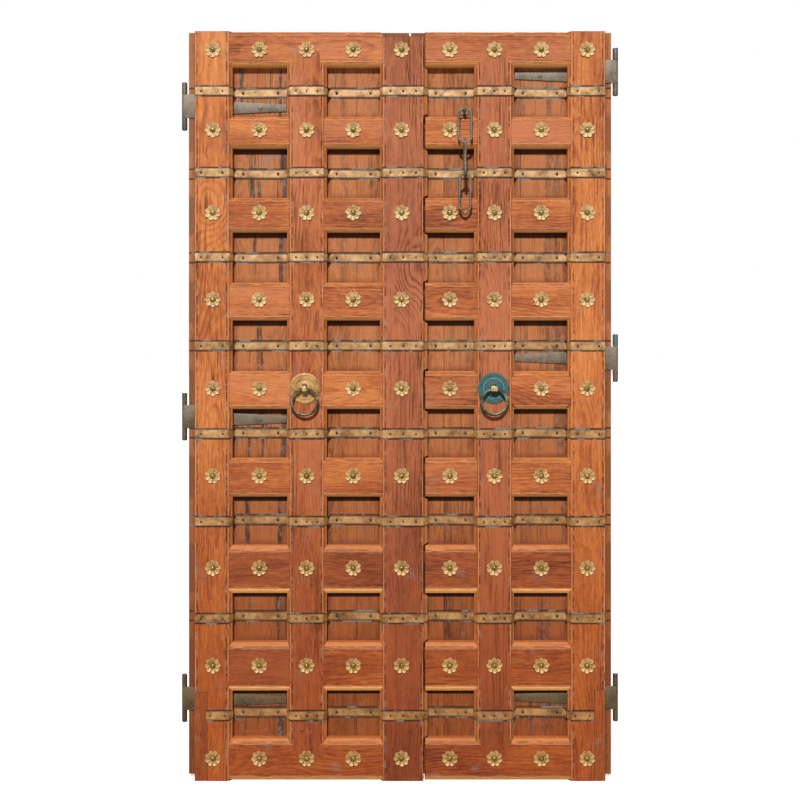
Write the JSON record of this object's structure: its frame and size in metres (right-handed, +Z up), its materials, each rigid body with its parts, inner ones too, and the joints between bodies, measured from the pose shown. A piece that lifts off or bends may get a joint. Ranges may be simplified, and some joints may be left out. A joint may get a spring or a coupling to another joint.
{
  "type": "carved temple door",
  "caption": "Pair of old timber door leaves: planks under a chamfered grid of stiles and rails, with brass bands, rosettes, ring handles, strap hinges and a hasp chain",
  "frame": {"origin": "bottom centre of the box around the closed pair of leaves", "axes": "+Z up, +X to the right as seen from the front, the decorated face towards -Y"},
  "size_m": [1.2343, 0.1014, 2.103],
  "materials": {
    "plank_wood": "old oiled timber, worn and cracked",
    "grid_wood": "oiled orange-brown timber, chamfers rubbed lighter",
    "repair_wood": "darker oiled timber let in as a repair",
    "band_brass": "hammered sheet brass, tarnished",
    "tack_iron": "dark iron tacks",
    "rosette_brass": "stamped brass, soft golden tarnish",
    "nail_brass": "domed brass nails, greenish tarnish",
    "hinge_iron": "forged iron, grey-brown",
    "pin_iron": "worn forged iron",
    "plate_brass": "cast brass, tarnished in the grooves",
    "plate_verdigris": "brass under teal verdigris",
    "eye_brass": "polished brass",
    "ring_bronze": "dark bronze bar, rubbed bright",
    "ring_verdigris": "bronze bar under verdigris",
    "chain_iron": "forged iron, dark",
    "screw_steel": "dull steel"
  },
  "bodies": {
    "hinge_pins": {"left_top_hinge_pin": "pin_iron", "left_mid_hinge_pin": "pin_iron", "left_low_hinge_pin": "pin_iron", "right_top_hinge_pin": "pin_iron", "right_mid_hinge_pin": "pin_iron", "right_low_hinge_pin": "pin_iron"},
    "right_leaf": {"right_plank_1": "plank_wood", "right_plank_2": "plank_wood", "right_plank_3": "plank_wood", "right_middle_stile": "grid_wood", "right_outer_stile": "grid_wood", "right_top_rail": "grid_wood", "right_bottom_rail": "grid_wood", "right_meeting_side_rails": "grid_wood", "right_hinge_side_rails": "grid_wood", "right_repair_strip": "repair_wood", "right_bands": "band_brass", "right_band_tacks": "tack_iron", "right_rosettes": "rosette_brass", "right_rosette_nails": "nail_brass", "right_top_hinge_strap": "hinge_iron", "right_mid_hinge_strap": "hinge_iron", "right_low_hinge_strap": "hinge_iron", "right_hinge_rivets": "hinge_iron", "right_ring_plate": "plate_verdigris", "right_ring_eye": "eye_brass", "chain_staple": "chain_iron"},
    "left_leaf": {"left_plank_1": "plank_wood", "left_plank_2": "plank_wood", "left_plank_3": "plank_wood", "left_plank_4": "plank_wood", "left_outer_stile": "grid_wood", "left_middle_stile": "grid_wood", "cover_stile": "grid_wood", "left_top_rail": "grid_wood", "left_bottom_rail": "grid_wood", "left_hinge_side_rails": "grid_wood", "left_meeting_side_rails": "grid_wood", "left_repair_strip": "repair_wood", "repair_screw": "screw_steel", "left_bands": "band_brass", "left_band_tacks": "tack_iron", "left_rosettes": "rosette_brass", "left_rosette_nails": "nail_brass", "left_top_hinge_strap": "hinge_iron", "left_mid_hinge_strap": "hinge_iron", "left_low_hinge_strap": "hinge_iron", "left_hinge_rivets": "hinge_iron", "left_ring_plate": "plate_brass", "left_ring_eye": "eye_brass"},
    "left_ring_handle": {"left_ring": "ring_bronze"},
    "right_ring_handle": {"right_ring": "ring_verdigris"},
    "chain_upper_link": {"chain_link_1": "chain_iron"},
    "chain_middle_link": {"chain_link_2": "chain_iron"},
    "chain_end_link": {"chain_link_3": "chain_iron"}
  },
  "joints": [
    {"name": "right_leaf_swing", "type": "hinge", "parent": "hinge_pins", "child": "right_leaf", "pos_m": [0.6095, 0.0266, 1.05], "axis": [0, 0, -1], "range_deg": [0, 120]},
    {"name": "left_leaf_swing", "type": "hinge", "parent": "hinge_pins", "child": "left_leaf", "pos_m": [-0.6095, 0.0266, 1.05], "axis": [0, 0, 1], "range_deg": [0, 90]},
    {"name": "left_ring_lift", "type": "hinge", "parent": "left_leaf", "child": "left_ring_handle", "pos_m": [-0.26637, -0.02835, 1.099], "axis": [-1, 0, 0], "range_deg": [-4, 165]},
    {"name": "right_ring_lift", "type": "hinge", "parent": "right_leaf", "child": "right_ring_handle", "pos_m": [0.26241, -0.02895, 1.099], "axis": [-1, 0, 0], "range_deg": [-4, 165]},
    {"name": "upper_link_swing", "type": "hinge", "parent": "right_leaf", "child": "chain_upper_link", "pos_m": [0.18091, -0.03075, 1.879], "axis": [-1, 0, 0], "range_deg": [0, 120]},
    {"name": "middle_link_swing", "type": "hinge", "parent": "chain_upper_link", "child": "chain_middle_link", "pos_m": [0.18091, -0.03075, 1.7856], "axis": [-1, 0, 0], "range_deg": [0, 60]},
    {"name": "end_link_swing", "type": "hinge", "parent": "chain_middle_link", "child": "chain_end_link", "pos_m": [0.18091, -0.03075, 1.6911], "axis": [0, 1, 0], "range_deg": [-45, 45]}
  ],
  "couplings": [
    {"joint": "left_leaf_swing", "follows": "right_leaf_swing", "ratio": 0.75}
  ]
}
